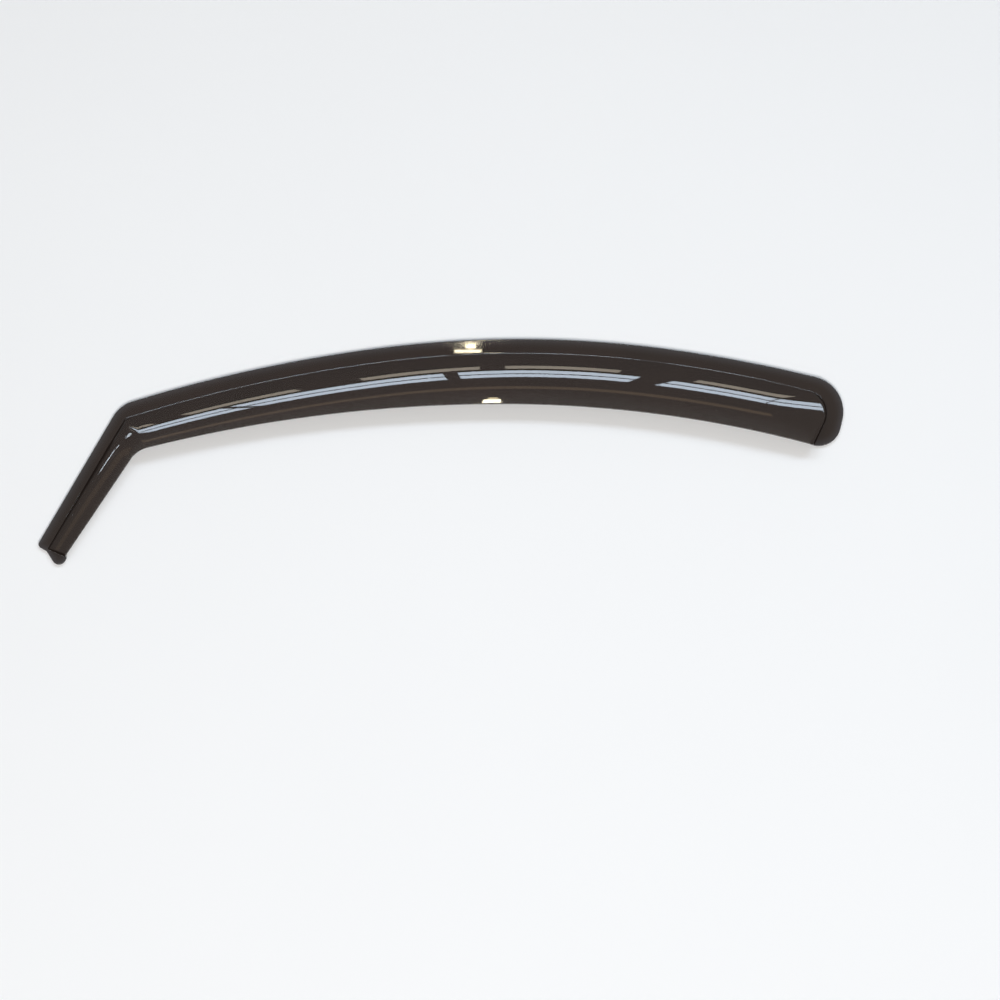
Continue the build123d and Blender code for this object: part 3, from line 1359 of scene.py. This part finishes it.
    def columns(self, station: Station, crown: Crown, face: Face, crease: float) -> Array:
        """Places across a station, closer together at the edges and the crease.

        Args:
            station: The line across the sheet.
            crown: Form of the visor there.
            face: The face that the places are for.
            crease: Where the station passes into the visor.

        Returns:
            Distances from the crease, from the outer edge to the free edge.
        """
        section = self.section(station, crown, face)
        first, last = self.outline.span(station.foot, station.across)
        rims, hollows = self.rim_steps(), self.crease_steps()
        flange = np.linspace(first + rims[-1], crease - hollows[-1], self.flange_columns + 2)[1:-1]
        shares = section.share_at(np.array((crease + hollows[-1], last - rims[-1])))
        visor = section.at(np.linspace(*shares, self.visor_columns + 2)[1:-1])[:, 0]
        before = np.concatenate((first + rims, flange, crease - hollows[::-1]))
        after = np.concatenate((crease + hollows, visor, last - rims[::-1]))
        return np.concatenate((before, (crease,), after))

    def crease_place(self, station: Station, crown: Crown, face: Face, at_rear: bool) -> float | None:
        """Place of the crease on a station.

        Args:
            station: The line across the sheet.
            crown: Form of the visor there.
            face: The face that the place is for.
            at_rear: Whether the station is one of the rear end's, where the wall cuts the crease off.

        Returns:
            Distance from the crease of the outer face, or None where the station lies past the rear wall.
        """
        if at_rear:
            return self.entry(station, crown, face)
        return float(self.section(station, crown, face).controls[0][0])

    def spread(self, station: Station, shares: Array) -> Array:
        """Places across the whole of a station, at shares of its width."""
        first, last = self.outline.span(station.foot, station.across)
        return first + (last - first) * shares

    def face_rows(self, layout: Layout, face: Face) -> list[Array]:
        """Rows of points of one face, from the end of the tab to the rear edge.

        Args:
            layout: The stations and their crowns.
            face: The face to work out.

        Returns:
            One table of points for each station.
        """
        tip, tip_crown = layout.body[0], layout.crowns[0]
        tip_crease = self.crease_place(tip, tip_crown, face, at_rear=False)
        shares = self.columns(tip, tip_crown, face, tip_crease)[self.crease_column :]
        shares = (shares - shares[0]) / (shares[-1] - shares[0])
        rows = [self.row(station, tip_crown, self.spread(station, shares), face) for station in layout.tab]
        for number, (station, crown) in enumerate(zip(layout.body, layout.crowns)):
            crease = self.crease_place(station, crown, face, number >= layout.rear_start)
            if crease is None:
                # Past the rear wall a station keeps the spacing of the last one that enters the visor.
                reaches = self.spread(station, shares)
            else:
                reaches = self.columns(station, crown, face, crease)
                shares = (reaches - reaches[0]) / (reaches[-1] - reaches[0])
            rows.append(self.row(station, crown, reaches, face))
        return rows

    def row(self, station: Station, crown: Crown, reaches: Array, face: Face) -> Array:
        """Points of one face along a station, with the edges of the sheet rounded.

        Args:
            station: The line across the sheet.
            crown: Form of the visor there.
            reaches: Distances from the crease.
            face: The face to work out.

        Returns:
            One row for each point: its place, its distance from the edge and the crown's slope there.
        """
        plan = station.foot + reaches[:, None] * station.across
        heights = self.heights(station, crown, reaches, face)
        edges = np.array([self.outline.edge_distance(point) for point in plan])
        radius = self.rim_round if face is Face.OUTER else self.back_round
        short = np.clip(radius - edges, 0.0, radius)
        drop = radius - np.sqrt(radius**2 - short**2)
        heights = heights - drop if face is Face.OUTER else heights + drop
        return np.column_stack((plan, heights, edges, np.full(len(edges), crown.slope)))

    def join_faces(self, faces: dict[Face, list[Array]], tab_count: int) -> bpy.types.Object:
        """Joins the two faces of the sheet along its edge into one closed mesh.

        Args:
            faces: Rows of points of each face, the tab's first.
            tab_count: How many rows belong to the tab, which start at the crease's column.

        Returns:
            The object.
        """
        outer = faces[Face.OUTER]
        columns = len(outer[-1])
        numbers = np.full((len(outer), columns), -1)
        count = 0
        for index, points in enumerate(outer):
            start = self.crease_column if index < tab_count else 0
            numbers[index, start:] = np.arange(count, count + len(points))
            count += len(points)
        quads = np.stack((numbers[:-1, :-1], numbers[:-1, 1:], numbers[1:, 1:], numbers[1:, :-1]), axis=-1)
        quads = quads[(quads >= 0).all(axis=-1)]
        edges = np.concatenate([quads[:, (side, (side + 1) % 4)] for side in range(4)])
        found = {tuple(edge) for edge in edges.tolist()}
        open_edges = [(a, b) for a, b in found if (b, a) not in found]
        rim = np.array([(b, a, a + count, b + count) for a, b in sorted(open_edges)])
        every = np.vstack((quads, quads[:, ::-1] + count, rim))
        table = np.vstack([*outer, *faces[Face.INNER]])
        places = (table[:, :3] - np.append(self.outline.middle(), 0.0)) * MM
        mesh = bpy.data.meshes.new("deflector_sheet")
        mesh.from_pydata(places.tolist(), [], every.tolist())
        mesh.shade_smooth()
        self.paint_masks(mesh, table, count)
        piece = bpy.data.objects.new("deflector_sheet", mesh)
        bpy.context.scene.collection.objects.link(piece)
        return piece

    def paint_masks(self, mesh: bpy.types.Mesh, table: Array, outer_count: int) -> None:
        """Stores the rubbed band, the cut edge, the painted shade of the steep faces and the painted
        highlight along the crease on the mesh's points.

        Args:
            mesh: The mesh of the sheet.
            table: Place of each point, its distance from the edge and the crown's slope there.
            outer_count: How many points belong to the outer face, which come first.
        """
        heights, edges, slopes = table[:, 2:].T
        lifted = heights - self.sheet
        rubbed = 1.0 - smooth_step(*self.flat_rise, lifted)
        rubbed = rubbed * np.clip(1.0 - edges / self.frost_band, 0.0, 1.0)
        rubbed[outer_count:] = 0.0
        # Painted highlight: a pale line low in the crease's hollow, where the crown is not steep.
        crease = smooth_step(0.0, self.crease_low, lifted) * (1.0 - smooth_step(*self.crease_high, lifted))
        crease = crease * (1.0 - smooth_step(*self.crease_slopes, slopes))
        crease[outer_count:] = 0.0
        cut = 1.0 - smooth_step(self.cut_from, self.rim_round, edges)
        # Painted shade on the steep faces, away from the cut edge.
        steep = self.steep_shares(mesh, slopes) * smooth_step(self.rim_round, 2.0 * self.rim_round, edges)
        masks = {Mask.RUBBED: rubbed, Mask.CUT: cut, Mask.STEEP: steep, Mask.CREASE_HIGHLIGHT: crease}
        for mask, values in masks.items():
            attribute = mesh.attributes.new(mask.value, "FLOAT", "POINT")
            attribute.data.foreach_set("value", values.astype(np.float32))

    def steep_shares(self, mesh: bpy.types.Mesh, slopes: Array) -> Array:
        """Shares by which the mesh's points lie on a steep face, which gets painted shade.

        Args:
            mesh: The mesh of the sheet.
            slopes: Slope of the crown at each point.

        Returns:
            Shares from 0 to 1.
        """
        normals = np.empty(3 * len(slopes), dtype=np.float32)
        mesh.vertex_normals.foreach_get("vector", normals)
        earlier = self.tip_earlier * smooth_step(*self.tip_slopes, slopes)
        shade_from, shade_full = (np.cos(np.radians(tilt - earlier)) for tilt in self.steep_tilts)
        return smooth_step(shade_from, shade_full, np.abs(normals[2::3]))

    def build(self) -> bpy.types.Object:
        """Makes the sheet, dresses it and puts it in the place of its CAD solid.

        Returns:
            The piece, with its mesh in the part's frame.
        """
        layout = self.layout()
        faces = {face: self.face_rows(layout, face) for face in Face}
        piece = self.join_faces(faces, len(layout.tab))
        self.finish.dress(piece)
        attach(piece, "root")
        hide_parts("deflector")
        return piece


@dataclass(frozen=True)
class PaleFloor:
    """Pale studio floor under the sheet, in metres."""

    side: float = 40.0
    drop: float = 0.0002
    light: Colour = (0.95, 0.95, 0.95, 1.0)
    shade: Colour = (0.93, 0.93, 0.93, 1.0)
    cloud_scale: float = 3.0
    cloud_detail: float = 3.0
    roughness: float = 0.8

    def build(self) -> bpy.types.Object:
        """Makes the floor and its matt finish.

        Returns:
            The floor.
        """
        half = self.side / 2.0
        signs = ((-1.0, -1.0), (1.0, -1.0), (1.0, 1.0), (-1.0, 1.0))
        mesh = bpy.data.meshes.new("floor")
        mesh.from_pydata([(x * half, y * half, -self.drop) for x, y in signs], [], [(0, 1, 2, 3)])
        floor = bpy.data.objects.new("floor", mesh)
        bpy.context.scene.collection.objects.link(floor)
        material, graph, output = new_material("pale_floor")
        place = graph.signal("ShaderNodeTexCoord", "Object", {}, {})
        colour = graph.blend(graph.noise(place, self.cloud_scale, self.cloud_detail), self.shade, self.light)
        inputs = {"Base Color": colour, "Roughness": self.roughness, "Specular IOR Level": 0.0}
        shader = graph.add("ShaderNodeBsdfPrincipled", {}, inputs)
        graph.tree.links.new(shader.outputs[0], output.inputs["Surface"])
        mesh.materials.append(material)
        return floor


class LampColour(Enum):
    """Colours of the lamps."""

    SOFT_WHITE = (1.0, 0.985, 0.965)
    SKY = (0.74, 0.86, 1.0)
    PALE_SKY = (0.80, 0.90, 1.0)
    CREAM = (1.0, 0.95, 0.88)
    SAND = (1.0, 0.89, 0.73)
    BROWN = (1.0, 0.7, 0.43)
    CANDLE = (1.0, 0.90, 0.66)
    GOLD = (1.0, 0.88, 0.60)
    AMBER = (1.0, 0.84, 0.52)


@dataclass(frozen=True)
class Softbox:
    """Rectangular lamp that faces a point, in metres."""

    name: str
    place: Place
    size: Span
    radiance: float
    colour: LampColour
    aim: Place | None = None
    roll: float = 0.0

    def build(self) -> bpy.types.Object:
        """Makes the lamp, which faces straight down if it has no aim.

        Returns:
            The lamp's object.
        """
        lamp = bpy.data.lights.new(self.name, "AREA")
        lamp.shape = "RECTANGLE"
        lamp.size, lamp.size_y = self.size
        lamp.energy = self.radiance * pi * self.size[0] * self.size[1]
        lamp.color = self.colour.value
        holder = bpy.data.objects.new(self.name, lamp)
        holder.location = self.place
        if self.aim is not None:
            toward = Vector(self.aim) - Vector(self.place)
            holder.rotation_euler = toward.to_track_quat("-Z", "Y").to_euler()
        holder.rotation_euler.rotate_axis("Z", radians(self.roll))
        holder.visible_camera = False
        bpy.context.scene.collection.objects.link(holder)
        return holder


@dataclass(frozen=True)
class PanelGrid:
    """Bright panels on the far wall: their sides along it, their heights and their light."""

    name: str
    columns: tuple[Span, ...]
    rows: tuple[Span, ...]
    radiance: float
    colour: LampColour


@dataclass(frozen=True)
class Studio:
    """Plain soft light: a wall of window panes, one large softbox, small lamps and a dim room."""

    wall_distance: float = 1.83
    wall_level: float = 1.69
    wall_lean: float = 13.5
    panes: PanelGrid = PanelGrid(
        "pane",
        columns=((-1.108, -0.783), (-0.753, -0.142), (-0.096, 0.463), (0.558, 0.923), (0.940, 2.6)),
        rows=((1.698, 2.051), (2.157, 2.618)),
        radiance=9.0,
        colour=LampColour.SKY,
    )
    sills: PanelGrid = PanelGrid(
        "sill",
        columns=((-0.976, -0.943), (-0.847, -0.540), (-0.369, -0.027), (0.047, 0.385), (0.599, 0.93)),
        rows=((1.27, 1.51),),
        radiance=3.2,
        colour=LampColour.SAND,
    )
    lamps: tuple[Softbox, ...] = (
        Softbox("key_softbox", (0.1, -2.3, 3.6), (3.0, 2.4), 5.1, LampColour.SOFT_WHITE, aim=(0.0, 0.0, 0.0)),
        Softbox("ceiling_strip", (-0.36, 1.285, 2.8), (2.48, 0.19), 0.62, LampColour.BROWN),
        Softbox("side_strip", (-1.47, 0.51, 2.8), (1.6, 0.45), 0.24, LampColour.BROWN, aim=(-0.33, 0.0, 0.0)),
        Softbox(
            "side_window",
            (-1.6124, 0.5735, 1.477),
            (0.043, 0.224),
            8.0,
            LampColour.PALE_SKY,
            aim=(0.2176, -0.2335, 1.477),
            roll=-5.5,
        ),
        Softbox(
            "side_pane",
            (-2.1895, 0.7402, 2.20),
            (0.035, 0.20),
            11.0,
            LampColour.PALE_SKY,
            aim=(-0.3595, -0.0668, 2.20),
            roll=-12.0,
        ),
        Softbox(
            "corner_window",
            (-1.6, 1.66, 2.1),
            (0.5, 0.8),
            2.0,
            LampColour.CREAM,
            aim=(-0.31, 0.02, 2.1),
        ),
        Softbox("flange_lamp", (0.0143, 0.1602, 2.0), (0.037, 0.0042), 28.0, LampColour.GOLD),
        Softbox("flange_bulb", (0.0185, 0.1700, 2.0), (0.012, 0.010), 60.0, LampColour.GOLD),
        Softbox("visor_lamp", (0.046, 0.341, 2.0), (0.027, 0.128), 30.0, LampColour.CANDLE),
        Softbox("visor_bulb", (0.046, 0.452, 2.0), (0.016, 0.050), 13.0, LampColour.AMBER),
    )
    room: Colour = (0.22, 0.22, 0.22, 1.0)
    horizon: Colour = (0.30, 0.30, 0.30, 1.0)
    horizon_band: Span = (0.02, 0.35)

    def panel(self, grid: PanelGrid, column: int, row: int) -> Softbox:
        """One panel on the far wall, which leans back.

        Args:
            grid: The panels that it is one of.
            column: Number of its column.
            row: Number of its row.

        Returns:
            The lamp.
        """
        left, right = grid.columns[column]
        low, high = grid.rows[row]
        level = (low + high) / 2.0
        lean = radians(self.wall_lean)
        place = ((left + right) / 2.0, self.wall_distance + (level - self.wall_level) * tan(lean), level)
        size = (right - left, (high - low) / cos(lean))
        aim = (place[0], place[1] - cos(lean), level + sin(lean))
        return Softbox(f"{grid.name}_{column}_{row}", place, size, grid.radiance, grid.colour, aim)

    def build(self) -> list[bpy.types.Object]:
        """Makes all the lamps and the room.

        Returns:
            The lamps.
        """
        boxes = list(self.lamps)
        for grid in (self.panes, self.sills):
            spots = product(range(len(grid.columns)), range(len(grid.rows)))
            boxes += [self.panel(grid, column, row) for column, row in spots]
        self.build_room()
        return [box.build() for box in boxes]

    def build_room(self) -> None:
        """Makes the room, a little paler near the horizon than overhead."""
        world = bpy.data.worlds.new("studio_room")
        world.use_nodes = True
        world.node_tree.nodes.clear()
        graph = Graph(world.node_tree)
        direction = graph.signal("ShaderNodeTexCoord", "Generated", {}, {})
        up = graph.signal("ShaderNodeSeparateXYZ", 2, {}, {0: direction})
        colour = graph.blend(graph.ramp(up, *self.horizon_band), self.horizon, self.room)
        background = graph.add("ShaderNodeBackground", {}, {"Color": colour, "Strength": 1.0})
        output = graph.add("ShaderNodeOutputWorld", {}, {})
        graph.tree.links.new(background.outputs[0], output.inputs["Surface"])
        bpy.context.scene.world = world


@dataclass(frozen=True)
class PhotoCamera:
    """Camera straight above the sheet, as the photograph was taken, in metres and its lens in millimetres."""

    frame_width: float = 1.0
    centre: Span = (0.0591, -0.0482)
    level: float = 0.003
    lens: float = 180.0
    sensor: float = 36.0
    clip_end: float = 100.0

    def build(self) -> bpy.types.Object:
        """Makes the camera and gives it to the scene.

        Returns:
            The camera.
        """
        data = bpy.data.cameras.new("photo_camera")
        data.lens = self.lens
        data.sensor_width = self.sensor
        data.clip_end = self.clip_end
        camera = bpy.data.objects.new("photo_camera", data)
        camera.location = (*self.centre, self.level + self.frame_width * self.lens / self.sensor)
        bpy.context.scene.collection.objects.link(camera)
        bpy.context.scene.camera = camera
        return camera


def main() -> None:
    """Builds the sheet, the floor, the light and the camera."""
    logging.basicConfig(level=logging.INFO)
    piece = Deflector().build()
    LOG.info("%s: %d points, %d faces", piece.name, len(piece.data.vertices), len(piece.data.polygons))
    floor = PaleFloor().build()
    LOG.info("%s: %.0f m wide", floor.name, floor.dimensions.x)
    LOG.info("lamps: %d", len(Studio().build()))
    LOG.info("camera: %s", PhotoCamera().build().name)
    bpy.context.scene.view_settings.view_transform = "Standard"


if __name__ == "__main__":
    main()
